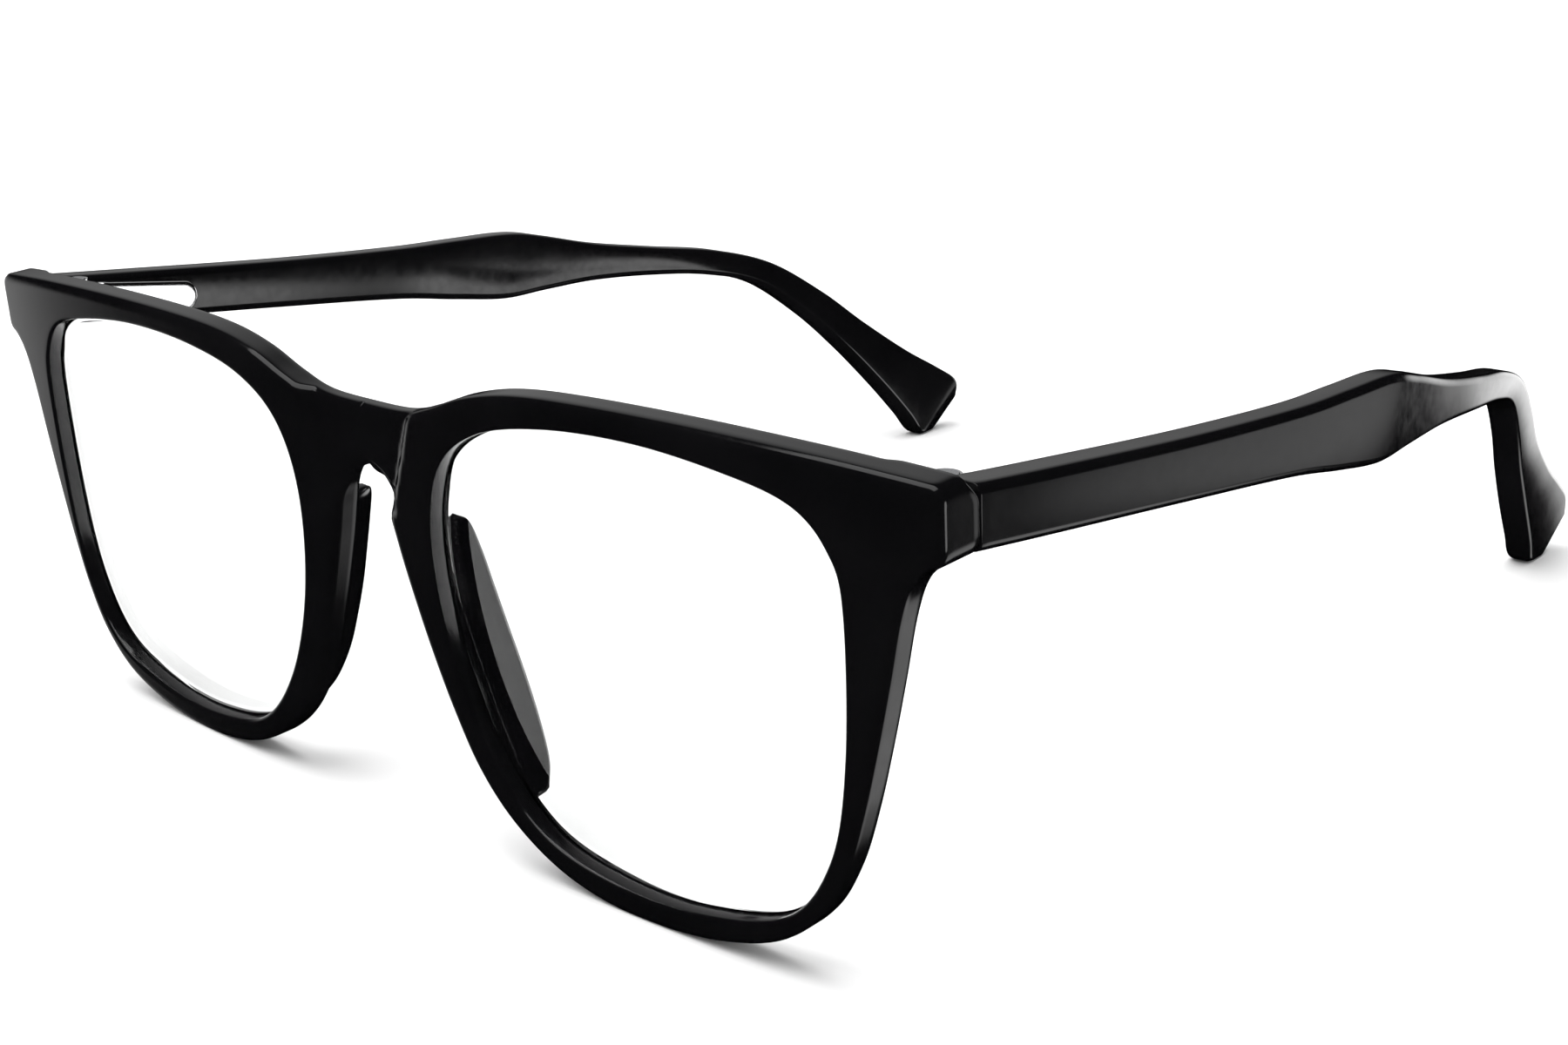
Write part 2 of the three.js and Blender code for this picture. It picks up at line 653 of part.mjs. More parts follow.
for (const [suffix, side] of [['left', 1], ['right', -1]]) {
  const ownSide = (geometry) => (side > 0 ? geometry : mirrored(geometry));
  eyewear.add(named(`lens_${suffix}`, lens(side), clearLens));
  eyewear.add(named(`nose_pad_${suffix}`, ownSide(padShape), acetate));
  const hinge = new THREE.Group();
  hinge.position.set(side * PIVOT.x, PIVOT.y, PIVOT.z);
  eyewear.add(hinge);
  for (const [name, geometry, material] of hingePieces) {
    hinge.add(named(`${name}_${suffix}`, ownSide(geometry), material));
  }
  const arm = new THREE.Group();
  arm.rotation.x = -TEMPLE_DROP;
  hinge.add(arm);
  arm.updateWorldMatrix(true, false);
  for (const [name, geometry, material] of templePieces) {
    arm.add(named(`${name}_${suffix}`, ownSide(geometry), material));
  }
  arm.add(named(`temple_${suffix}`, flattened(ownSide(templeShape), arm.matrixWorld), acetate));
}

// The origin is the middle of the bounding box, on the table.
const bounds = new THREE.Box3().setFromObject(eyewear, true);
const assembly = new THREE.Group();
eyewear.position.x -= (bounds.min.x + bounds.max.x) / 2;
eyewear.position.y -= (bounds.min.y + bounds.max.y) / 2;
assembly.add(eyewear);

export default assembly;
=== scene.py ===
"""Looks for a pair of black acetate eyeglasses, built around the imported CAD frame.

Shapes are drawn in millimetres in three frames, as in the CAD part:
- the front's frame: X across, Y backwards from the front face, Z up the front;
- a hinge's frame: parallel to the front's, with its origin on the hinge axis;
- a temple's frame: the hinge's frame turned down until Y runs along the temple.
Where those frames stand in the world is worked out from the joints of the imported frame.
Pieces are drawn for the +X side, the wearer's left, and mirrored for the other side.
"""

import json
import math

import bmesh
import bpy
import numpy as np
from mathutils import Matrix, Vector


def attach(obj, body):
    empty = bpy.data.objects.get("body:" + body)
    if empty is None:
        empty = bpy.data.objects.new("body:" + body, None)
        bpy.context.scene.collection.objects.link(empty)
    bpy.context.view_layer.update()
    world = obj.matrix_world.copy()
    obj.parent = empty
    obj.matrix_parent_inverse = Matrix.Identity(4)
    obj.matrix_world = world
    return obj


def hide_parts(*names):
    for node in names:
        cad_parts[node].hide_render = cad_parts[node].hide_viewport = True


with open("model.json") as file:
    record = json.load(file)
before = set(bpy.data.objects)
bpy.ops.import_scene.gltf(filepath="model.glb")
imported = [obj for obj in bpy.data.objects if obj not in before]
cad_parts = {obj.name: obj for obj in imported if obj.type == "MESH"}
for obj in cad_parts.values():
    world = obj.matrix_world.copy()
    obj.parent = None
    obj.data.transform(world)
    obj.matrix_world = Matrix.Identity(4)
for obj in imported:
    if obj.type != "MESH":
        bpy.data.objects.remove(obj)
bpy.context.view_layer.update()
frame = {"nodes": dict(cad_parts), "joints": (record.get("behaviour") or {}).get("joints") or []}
MM = 0.001
SIDES = (("left", False), ("right", True))      # each side, and whether it is mirrored

# ------------------------------------------------------------ the front, in mm

HALF_WIDTH = 65.8
FRONT_THICKNESS = 3.5
SWEEP_BASE = 2.3                # how far the front bows back from its middle to its ends
SWEEP_END = 0.8                 # what the ends add to that
SWEEP_POWER = 8
END_TOP = 22.6
END_BOTTOM = 16.2
END_SEAM_TOP = 21.6             # height of the end piece's top where it meets the temple
END_INNER_X = 58.9              # inner side of the end piece
END_CORNER = 1.1                # rounding of the end piece's corners, seen from the front

BROW = [
    (0, 18.8), (6.2, 19.0), (10.6, 20.2), (15.5, 22.0), (21.5, 23.2), (30, 23.7),
    (42, 23.8), (54, 23.5), (62, 23.0), (HALF_WIDTH, END_TOP),
]
RIM = [
    (HALF_WIDTH, END_BOTTOM), (64.2, 15.7), (62.7, 14.0), (61.6, 10.7), (60.5, 5.3), (59.2, -0.6),
    (57.7, -6.6), (55.9, -12.1), (53.2, -16.9), (48.8, -20.6), (42.7, -22.7), (36.1, -23.6),
    (29.3, -23.5), (22.9, -22.0), (17.3, -18.8), (13.2, -14.5), (10.2, -9), (7.7, -3),
    (5.5, 3.4), (4.3, 7.6), (3.5, 10.3), (2.1, 12.1), (0, 12.8),
]
OPENING = [
    (56.9, 11.2), (55.6, 16.0), (52.2, 19.1), (45.5, 20.6), (36.1, 21.4), (25.9, 20.9),
    (17.3, 19.0), (11.9, 15.0), (9.8, 7.8), (11.0, -2.4), (15.1, -12.1), (21.5, -18.7),
    (30.8, -20.9), (40.6, -20.5), (49.9, -17.7), (54.7, -11.2), (56.6, -1.6),
]

# Edge roundings of the polished front.
OUTER_ROUND = 0.95              # on the outside
LENS_ROUND = 0.35               # at the lens
BACK_ROUND = 0.75               # on the back
SEAM_ROUND = 0.12               # where the end piece meets the temple

# Ranges over which the back steps back to the temple's joint face: from the end piece's
# inner side, from its foot, and towards its top, where the step runs out again.
STEP_ACROSS = (END_INNER_X - 0.4, END_INNER_X + 0.9)
STEP_FOOT = (END_BOTTOM - 1.4, END_BOTTOM)
STEP_TOP = (END_SEAM_TOP - 1.4, END_TOP - 0.2)

# Ranges over which the back's rounding tightens to SEAM_ROUND: across, and from the foot.
SEAM_ACROSS = (END_INNER_X, END_INNER_X + 1.5)
SEAM_FOOT = (END_BOTTOM - 1, END_BOTTOM)

# The set-back in the bridge's face. It is wider at its top than at its bottom.
SADDLE_DEPTH = 1.2
SADDLE_TOP = 19
SADDLE_TOP_X = 8.6
SADDLE_BOTTOM = 11
SADDLE_BOTTOM_X = 5.6
SADDLE_BLEND = 1.6              # width of the slope at its sides
SADDLE_RUN_OUT = 2.5            # height of the slope at its bottom
SADDLE_FLARE = 1.4              # how far the widening goes on, as a share of its height

# Pairs of matching points on the front's outer edge and on the lens opening, anticlockwise
# from the foot of the middle line, with the number of mesh stations up to the next pair.
RIM_SPOKES = [
    ((0, 12.8), (9.8, 9.0), 16),
    ((0, 18.8), (11, 13.5), 22),
    ((10.6, 20.2), (17.3, 19.0), 22),
    ((30, 23.7), (31, 21.3), 24),
    ((54, 23.5), (52.2, 19.1), 22),
    ((HALF_WIDTH, END_TOP), (55.6, 16.0), 18),
    ((HALF_WIDTH, END_BOTTOM), (56.4, 13), 18),
    ((61.6, 10.7), (57.0, 9.5), 16),
    ((59.2, -0.6), (56.6, -1.6), 22),
    ((53.2, -16.9), (50.9, -16.9), 26),
    ((29.3, -23.5), (30.8, -20.9), 26),
    ((13.2, -14.5), (15.1, -12.1), 20),
    ((7.7, -3), (11.0, -2.4), 16),
    ((4.3, 7.6), (9.9, 6.5), 12),
]

# Mesh rows across the rim: distances from the lens, a number of rows between, and
# distances from the outside.
ROWS_FROM_LENS = [0, 0.04, 0.1, 0.18, 0.28, 0.4]
ROWS_BETWEEN = 16
ROWS_FROM_OUTSIDE = [1.4, 1.15, 0.95, 0.75, 0.56, 0.38, 0.23, 0.11, 0.04, 0]
WALL_ROWS = 6                   # rows over the outer wall
END_SIDE_POINTS = 12            # points down the end piece's side
MIDDLE_LINE_POINTS = 26         # points up the middle line of the bridge
CURVE_POINTS = 12               # points from one point of an outline to the next

# ------------------------------------------------------------ lenses and pads, in mm

LENS_THICKNESS = 1.3
LENS_MIDDLE = 2.45              # depth of the lens's edge behind the front face
LENS_BULGE = 1.1
LENS_GAP = 0.06                 # between the lens and the rim
LENS_CHAMFER = 0.1
LENS_RIDGE = 0.45               # how far the ridge stands into the groove
LENS_RIDGE_TOP = 0.1            # half the width of the ridge's top
LENS_RIDGE_FOOT = 0.66          # half the width of its foot
LENS_RING_SHARES = [0.02, 0.1, 0.2, 0.32, 0.45, 0.58, 0.7, 0.8, 0.88, 0.94, 0.98, 1]

# The groove for the lens: distance behind the lens's middle, and depth into the rim.
GROOVE_ROWS = [(-0.8, 0), (-0.7, 0.06), (-0.15, 0.6), (0.15, 0.6), (0.7, 0.06), (0.8, 0)]

# The nose pad from top to bottom: height, middle x, width, and how far back it reaches.
PAD_STATIONS = [
    (8.0, 6.3, 1.9, 6.4), (7.2, 6.6, 2.6, 7.3), (4.5, 7.6, 3.0, 7.6), (1, 8.8, 3.3, 7.7),
    (-3, 10.2, 3.5, 7.8), (-7, 11.8, 3.5, 7.8), (-11, 13.5, 3.3, 7.6), (-14.5, 15.4, 2.9, 6.9),
    (-16.6, 16.9, 2.1, 5.6),
]
PAD_SINK = 0.7                  # how deep its base lies in the rim
PAD_LEAN = 0.25                 # how far it leans outwards, as a share of its reach
PAD_ARC_POINTS = 24
PAD_ENDS = [(0.5, 0.3), (0.42, 0.65), (0.22, 0.9)]      # its round ends: reach, share of the size

# ------------------------------------------------------------ temples and hinges, in mm

PIVOT = Vector((61.2, 9.6, 19))
SEAM_Y = -1.7                   # the end piece's joint face, measured from the pivot

# The temple: top y, top z, bottom y, bottom z, outer side x, thickness.
TEMPLE_STATIONS = [
    (-1.9, 2.3, -0.8, -3.2, 4.6, 3.8),
    (9.2, 2.8, 9.2, -2.8, 4.6, 3.8),
    (29.2, 3.8, 29.2, -2.0, 4.4, 3.7),
    (47.2, 5.1, 47.2, -1.4, 4.1, 3.6),
    (57.2, 6.2, 57.2, -1.6, 3.7, 3.6),
    (66.0, 7.1, 65.4, -1.6, 3.2, 3.6),
    (72.4, 6.7, 72.2, -0.5, 2.6, 3.5),
    (80.9, 5.8, 80.9, 0.8, 1.7, 3.4),
    (91.2, 5.4, 91.1, 1.5, 0.4, 3.4),
    (101.6, 5.1, 100.1, 1.6, -1.3, 3.4),
    (111.3, 3.5, 108.5, 0.4, -3.4, 3.4),
    (120.6, -0.6, 117.2, -4.1, -5.8, 3.4),
    (128.5, -5.1, 124.5, -9.2, -7.8, 3.5),
    (137.2, -9.4, 131.7, -14.8, -9.4, 3.6),
    (144.2, -12.2, 137.2, -19.4, -10.5, 3.5),
    (148.6, -14.2, 140.4, -22.3, -11.2, 3.2),
    (149.9, -16.5, 144.0, -22.3, -11.5, 2.2),
]
TEMPLE_ROUND = 0.9
# How its ends are rounded: how far the section shrinks, and how far it lies beyond the end.
TEMPLE_FRONT_END = [(0.1, 0.18), (0.05, 0.15), (0.015, 0.1)]
TEMPLE_TIP_END = [(0.12, 0.16), (0.35, 0.33), (0.65, 0.42), (0.95, 0.45)]
TIP_HEADING = np.array([0, 0.72, -0.69])

HOUSING_Y = (2.1, 15.6)
HOUSING_X = (-1.0, 2.9)
HOUSING_HALF_HEIGHT = 1.75
HOUSING_ROUND = 0.35
HOUSING_FLAT_RINGS = (1.2, 0.55)        # insets of the rings that keep its face flat
HOUSING_ARC_POINTS = 25
HOUSING_SIDE_POINTS = 8
# What is hollowed out of the housing for the slider and its spring: low and high corners.
HOUSING_HOLLOWS = [
    ((-0.43, 1.5, -0.58), (1.83, 3.4, 0.58)),
    ((-0.15, 3.2, -1.1), (2.05, 13.4, 1.1)),
]

# ------------------------------------------------------------ camera and light

# The photo's camera, in the front's frame: place in mm, angles in degrees, lens in mm.
CAMERA_PLACE = (161.256, -118.938, 77.155)
CAMERA_AZIMUTH = 46.2566
CAMERA_ELEVATION = 20.8538
CAMERA_RIGHT = (0.70843, 0.70244, -0.06854)
CAMERA_LENS = 51.5804
CAMERA_SENSOR = 36
CAMERA_SHIFT = (0.09324, 0.02553)
CAMERA_CLIP = (0.01, 60)

# Soft reflection panels: direction, angles where each starts to fade and ends, and brightness.
PANELS = [
    ((0.86, 0.44, -0.26), 7, 10, 2.6),      # whitens the metal housing
    ((0.42, 0.88, -0.24), 2, 11, 0.6),      # the rear of the near temple
    ((0.62, 0.70, -0.35), 4, 16, 0.10),     # the near end piece and temple side
    ((-0.98, 0.0, -0.20), 4, 28, 0.8),      # the far end of the front face
    ((0.39, 0.72, -0.57), 4, 13, 1.1),      # the outer side of the near rim
    ((-0.60, 0.60, 0.40), 10, 35, 0.4),     # the upper edges
    ((-0.02, 0.99, -0.12), 8, 16, 2.2),     # the backs of the tips
]
FILL_LIGHT = 0.55
OVERHEAD_POWER = 2.4
OVERHEAD_SPREAD = 70            # degrees
OVERHEAD_TURN = (12, -14, 0)    # degrees
TOP_BOX_ELEVATION = 78          # degrees
TOP_BOX_SIZE = (0.9, 0.6)       # metres
TOP_BOX_POWER = 3.0
TOP_BOX_DISTANCE = 0.8          # metres
TOP_BOX_TARGET = Vector((0, 0, 0.03))
TABLE_HALF = 12.0               # metres

# ------------------------------------------------------------ frames


def joint(name):
    return next(j for j in frame["joints"] if j["name"] == name)


fold = joint("fold_left")
fold_axis = Vector(fold["axis"])
slide_axis = Vector(joint("spring_travel_left")["axis"])
FRONT_TILT = math.atan2(-fold_axis.y, fold_axis.z)
TEMPLE_DROP = FRONT_TILT - math.atan2(slide_axis.z, slide_axis.y)
TILT = Matrix.Rotation(FRONT_TILT, 4, "X")
FRONT_ORIGIN = Vector(fold["pos_m"]) / MM - TILT @ PIVOT
FRONT_TO_WORLD = Matrix.Scale(MM, 4) @ Matrix.Translation(FRONT_ORIGIN) @ TILT
TEMPLE_TO_FRONT = Matrix.Translation(PIVOT) @ Matrix.Rotation(-TEMPLE_DROP, 4, "X")
MIRROR = Matrix.Scale(-1, 4, (1, 0, 0))


def temple_to_world(mirror):
    if mirror:
        return FRONT_TO_WORLD @ MIRROR @ TEMPLE_TO_FRONT
    return FRONT_TO_WORLD @ TEMPLE_TO_FRONT


# ------------------------------------------------------------ curves


def spline(points, closed=False, per_span=CURVE_POINTS):
    """A uniform Catmull-Rom curve through the points."""
    p = np.asarray(points, float)
    if closed:
        padded = np.vstack([p[-1:], p, p[:2]])
    else:
        padded = np.vstack([2 * p[0] - p[1], p, 2 * p[-1] - p[-2]])
    t = (np.arange(per_span) / per_span)[:, None]
    spans = []
    for a, b, c, d in zip(padded[:-3], padded[1:-2], padded[2:-1], padded[3:]):
        bend = (2 * a - 5 * b + 4 * c - d) * t ** 2 + (3 * b - a - 3 * c + d) * t ** 3
        spans.append(b + 0.5 * ((c - a) * t + bend))
    curve = np.vstack(spans)
    return curve if closed else np.vstack([curve, p[-1:]])


def smoothstep(low, high, value):
    t = np.clip((value - low) / (high - low), 0, 1)
    return t * t * (3 - 2 * t)


def between(start, end, count):
    """Evenly spaced values between two others, without the two themselves."""
    return np.linspace(start, end, count + 2)[1:-1]


def arc_lengths(line):
    steps = np.linalg.norm(np.diff(line, axis=0), axis=1)
    return np.concatenate([[0], np.cumsum(steps)])


def stations_along(line, keys, counts):
    """Points along a closed line, `counts` of them from each key point up to the next."""
    start = np.argmin(np.linalg.norm(line - np.array(keys[0]), axis=1))
    ring = np.vstack([line[start:], line[:start + 1]])
    lengths = arc_lengths(ring)
    places = [lengths[np.argmin(np.linalg.norm(ring[:-1] - np.array(k), axis=1))] for k in keys]
    places.append(lengths[-1])
    wanted = np.concatenate([
        np.linspace(a, b, count, endpoint=False)
        for a, b, count in zip(places[:-1], places[1:], counts)
    ])
    return np.column_stack([np.interp(wanted, lengths, ring[:, axis]) for axis in (0, 1)])


def rounded_corner(line, corner, radius, steps=8):
    """Replaces the stretch of a line nearer than `radius` to a corner with a smooth bend."""
    corner = np.array(corner, float)
    near = np.flatnonzero(np.linalg.norm(line - corner, axis=1) < radius)
    before = line[near[0] - 1]
    after = line[near[-1] + 1]
    t = np.linspace(0, 1, steps)[:, None]
    bend = before * (1 - t) ** 2 + corner * 2 * t * (1 - t) + after * t ** 2
    return np.vstack([line[:near[0] - 1], bend, line[near[-1] + 2:]])


def distance_to(line, points):
    """How far each point is from a polyline."""
    best = np.full(len(points), np.inf)
    for a, b in zip(line[:-1], line[1:]):
        along = b - a
        share = np.clip((points - a) @ along / (along @ along), 0, 1)
        best = np.minimum(best, np.linalg.norm(points - a - share[:, None] * along, axis=1))
    return best


def outward_normals(line, centre):
    """Unit normals of a closed line, pointing away from a point inside it."""
    tangent = np.roll(line, -1, axis=0) - np.roll(line, 1, axis=0)
    outward = np.column_stack([tangent[:, 1], -tangent[:, 0]])
    outward /= np.linalg.norm(outward, axis=1)[:, None]
    return outward * np.sign(np.sum(outward * (line - centre), axis=1))[:, None]


def edge_drop(distance, radius):
    """How far a face has fallen away at a distance from its rounded edge."""
    inside = np.clip(radius - distance, 0, radius)
    return radius - np.sqrt(radius ** 2 - inside ** 2)


# ------------------------------------------------------------ meshes


def mesh_object(name, vertices, faces, to_world, mirror=False):
    """An object from millimetre points in a frame, its normals pointing out."""
    points = np.array(vertices, float).reshape(-1, 3)
    if mirror:
        points = points * (-1, 1, 1)
    mesh = bpy.data.meshes.new(name)
    mesh.from_pydata([to_world @ Vector(p) for p in points], [], [tuple(f) for f in faces])
    piece = bpy.data.objects.new(name, mesh)
    bpy.context.scene.collection.objects.link(piece)
    tidy(mesh)
    return piece


def tidy(mesh, merge=1e-6):
    """Merges doubled points, turns the faces outwards and shades them smooth."""
    work = bmesh.new()
    work.from_mesh(mesh)
    bmesh.ops.remove_doubles(work, verts=work.verts, dist=merge)
    bmesh.ops.recalc_face_normals(work, faces=work.faces)
    work.to_mesh(mesh)
    work.free()
    mesh.shade_smooth()


def grid_faces(rows, columns, wrap_rows=False, wrap_columns=False, first=0):
    """Quads over a grid of points stored row after row."""
    faces = []
    for r in range(rows if wrap_rows else rows - 1):
        here = first + r * columns
        below = first + (r + 1) % rows * columns
        for c in range(columns if wrap_columns else columns - 1):
            after = (c + 1) % columns
            faces.append((here + c, here + after, below + after, below + c))
    return faces


def ring_solid(name, rings, to_world, mirror=False):
    """A closed piece through a row of rings, capped at both ends."""
    count = len(rings[0])
    total = count * len(rings)
    faces = grid_faces(len(rings), count, wrap_columns=True)
    faces.append(tuple(range(count)))
    faces.append(tuple(range(total - 1, total - count - 1, -1)))
    return mesh_object(name, np.vstack(rings), faces, to_world, mirror)


def rest_on_table(piece):
    """Flattens what would reach below the table."""
    for vertex in piece.data.vertices:
        vertex.co.z = max(vertex.co.z, 0)


# ------------------------------------------------------------ the front


def sweep_at(x):
    """How far the front stands back at a distance from its middle."""
    share = np.abs(x) / HALF_WIDTH
    return SWEEP_END * share ** SWEEP_POWER + SWEEP_BASE * share ** 2


def front_outline():
    """The +X half of the front's outer edge: the brow, the end piece and the rim."""
    whole_brow = spline([(-x, z) for x, z in BROW[:0:-1]] + BROW)
    whole_rim = spline(RIM + [(-x, z) for x, z in RIM[-2::-1]])
    brow = whole_brow[len(whole_brow) // 2:]
    rim = whole_rim[:len(whole_rim) // 2 + 1]
    line = np.vstack([brow, between(brow[-1], rim[0], END_SIDE_POINTS), rim])
    line = rounded_corner(line, BROW[-1], END_CORNER)
    return rounded_corner(line, RIM[0], END_CORNER)


def lens_opening():
    return spline(OPENING, closed=True)


def saddle_at(x, z):
    """How far the bridge's face is set back."""
    share = np.clip((z - SADDLE_BOTTOM) / (SADDLE_TOP - SADDLE_BOTTOM), 0, SADDLE_FLARE)
    edge = SADDLE_BOTTOM_X + (SADDLE_TOP_X - SADDLE_BOTTOM_X) * share
    in_bridge = smoothstep(SADDLE_BOTTOM - SADDLE_RUN_OUT, SADDLE_BOTTOM, z)
    return SADDLE_DEPTH * in_bridge * (1 - smoothstep(edge - SADDLE_BLEND, edge, np.abs(x)))


def back_at(x, z):
    """The back face, which stands back to the temple's joint face at the end piece."""
    plain = FRONT_THICKNESS + sweep_at(x)
    seam = PIVOT.y + SEAM_Y
    share = smoothstep(*STEP_ACROSS, x)
    share = share * smoothstep(*STEP_FOOT, z)
    share = share * (1 - smoothstep(*STEP_TOP, z))
    return plain + share * (np.maximum(seam, plain) - plain)


def rim_stations():
    """Matching places along the lens opening and along the front's outer edge."""
    outer_keys, inner_keys, counts = zip(*RIM_SPOKES)
    foot, top = RIM[-1][1], BROW[0][1]
    middle_line = [(0, z) for z in between(foot, top, MIDDLE_LINE_POINTS)]
    outer = stations_along(np.vstack([front_outline(), middle_line]), outer_keys, counts)
    inner = stations_along(lens_opening()[::-1], inner_keys, counts)
    return inner, outer


def grid_across(inner, outer):
    """Points (x, z) by station and row, with the rows closest together at both edges."""
    width = np.linalg.norm(outer - inner, axis=1)
    low = ROWS_FROM_LENS[-1] / width
    high = 1 - ROWS_FROM_OUTSIDE[0] / width
    shares = [distance / width for distance in ROWS_FROM_LENS]
    shares += [low + (high - low) * k / (ROWS_BETWEEN + 1) for k in range(1, ROWS_BETWEEN + 1)]
    shares += [1 - distance / width for distance in ROWS_FROM_OUTSIDE]
    return np.stack([inner + (outer - inner) * share[:, None] for share in shares], axis=1)


def front_faces(grid):
    """The front face and the back face over a grid of (x, z) points, with rounded edges."""
    points = grid.reshape(-1, 2)
    x, z = points[:, 0], points[:, 1]
    opening = lens_opening()
    to_outside = distance_to(front_outline(), points)
    to_lens = distance_to(np.vstack([opening, opening[:1]]), points)
    face = sweep_at(x) + saddle_at(x, z)
    front_y = face + edge_drop(to_outside, OUTER_ROUND) + edge_drop(to_lens, LENS_ROUND)
    at_seam = smoothstep(*SEAM_ACROSS, x) * smoothstep(*SEAM_FOOT, z)
    back_round = BACK_ROUND * (1 - at_seam) + SEAM_ROUND * at_seam
    back_y = back_at(x, z) - edge_drop(to_outside, back_round) - edge_drop(to_lens, BACK_ROUND)
    return [np.column_stack([x, y, z]).reshape(*grid.shape[:2], 3) for y in (front_y, back_y)]


def lens_wall(front, back, inner):
    """The wall round the lens, with the groove that holds it."""
    outward = outward_normals(inner, lens_opening().mean(axis=0))
    rows = [front[:, 0]]
    for behind, depth in GROOVE_ROWS:
        place = inner + outward * depth
        y = sweep_at(inner[:, 0]) + (LENS_MIDDLE + behind)
        rows.append(np.column_stack([place[:, 0], y, place[:, 1]]))
    rows.append(back[:, 0])
    return np.stack(rows, axis=1)


def outer_wall(front, back):
    """The wall round the outside, left open along the middle line."""
    first = RIM_SPOKES[0][2]
    order = list(range(first, len(front))) + [0]
    shares = np.linspace(0, 1, WALL_ROWS)
    return np.stack([front[order, -1] * (1 - s) + back[order, -1] * s for s in shares], axis=1)


def build_front():
    inner, outer = rim_stations()
    front, back = front_faces(grid_across(inner, outer))
    sheets = [(front, True), (back, True), (lens_wall(front, back, inner), True),
              (outer_wall(front, back), False)]
    half = np.empty((0, 3))
    faces = []
    for sheet, goes_round in sheets:
        stations, rows = sheet.shape[:2]
        faces += grid_faces(stations, rows, wrap_rows=goes_round, first=len(half))
        half = np.vstack([half, sheet.reshape(-1, 3)])
    count = len(half)
    other = half * (-1, 1, 1)
    both_faces = faces + [tuple(count + i for i in face[::-1]) for face in faces]
    piece = mesh_object("acetate_front", np.vstack([half, other]), both_faces, FRONT_TO_WORLD)
    rest_on_table(piece)
    return piece


# ------------------------------------------------------------ lenses and pads


def build_lens(name, mirror):
    """A domed lens, with a ridge round its edge that sits in the groove."""
    opening = lens_opening()
    centre = opening.mean(axis=0)
    outward = outward_normals(opening, centre)
    edge = opening - outward * LENS_GAP
    half = LENS_THICKNESS / 2

    def face_ring(share, side):
        place = centre + (edge - outward * LENS_CHAMFER - centre) * share
        bulge = LENS_BULGE * (1 - share ** 2)
        y = sweep_at(place[:, 0]) + LENS_MIDDLE + side * half - bulge
        return np.column_stack([place[:, 0], y, place[:, 1]])

    def edge_ring(reach, depth):
        place = edge + outward * reach
        y = sweep_at(edge[:, 0]) + LENS_MIDDLE + depth
        return np.column_stack([place[:, 0], y, place[:, 1]])

    rear_edge = [(LENS_RIDGE, LENS_RIDGE_TOP), (0, LENS_RIDGE_FOOT), (0, half - LENS_CHAMFER)]
    front_edge = [(reach, -depth) for reach, depth in reversed(rear_edge)]
    rings = [face_ring(share, -1) for share in LENS_RING_SHARES]
    rings += [edge_ring(reach, depth) for reach, depth in front_edge + rear_edge]
    rings += [face_ring(share, 1) for share in reversed(LENS_RING_SHARES)]
    return ring_solid(name, rings, FRONT_TO_WORLD, mirror)


def build_pad(name, mirror):
    """A half-round pad on the back of a rim's nasal side, with rounded ends."""
    stations = spline(PAD_STATIONS, per_span=6)
    base = FRONT_THICKNESS - PAD_SINK
    top_end = [(stations[0] + (reach, 0, 0, 0), grow) for reach, grow in PAD_ENDS]
    bottom_end = [(stations[-1] - (reach, 0, 0, 0), grow) for reach, grow in reversed(PAD_ENDS)]
    angles = np.linspace(0, math.pi, PAD_ARC_POINTS)
    rings = []
    for (z, x, width, back), grow in top_end + [(s, 1.0) for s in stations] + bottom_end:
        lean = PAD_LEAN * np.sin(angles) * (back - base)
        across = x + width / 2 * np.cos(angles) * grow + lean
        depth = base + (back - base) * grow * np.sin(angles)
        rings.append(np.column_stack([across, depth, np.full(len(angles), z)]))
    return ring_solid(name, rings, FRONT_TO_WORLD, mirror)


# ------------------------------------------------------------ temples


def rounded_section(outer, inner, height, radius, corner_steps=6):
    """A rounded rectangle as (x, height from the bottom edge)."""
    radius = min(radius, height / 2.05, (outer - inner) / 2.05)
    corners = [(outer - radius, radius, -90), (outer - radius, height - radius, 0),
               (inner + radius, height - radius, 90), (inner + radius, radius, 180)]
    points = []
    for x, up, start in corners:
        for k in range(corner_steps + 1):
            angle = math.radians(start + 90 * k / corner_steps)
            points.append((x + radius * math.cos(angle), up + radius * math.sin(angle)))
    return np.array(points)


def temple_ring(station, shrink=0.0):
    """The section at a station, drawn in on every side by `shrink`."""
    top, bottom = station[0:2], station[2:4]
    outer, thickness = station[4:6]
    height = np.linalg.norm(top - bottom)
    up = (top - bottom) / height
    section = rounded_section(outer - shrink, outer - thickness + shrink, height - 2 * shrink,
                              TEMPLE_ROUND)
    place = bottom + up * (section[:, 1:2] + shrink)
    return np.column_stack([section[:, 0], place])


def build_temple(name, mirror):
    stations = spline(TEMPLE_STATIONS, per_span=10)
    rings = [temple_ring(stations[0], shrink) - (0, ahead, 0) for shrink, ahead in TEMPLE_FRONT_END]
    rings += [temple_ring(station) for station in stations]
    rings += [temple_ring(stations[-1], shrink) + TIP_HEADING * reach
              for shrink, reach in TEMPLE_TIP_END]
    piece = ring_solid(name, rings, temple_to_world(mirror))
    rest_on_table(piece)
    return piece


# ------------------------------------------------------------ hinge housings


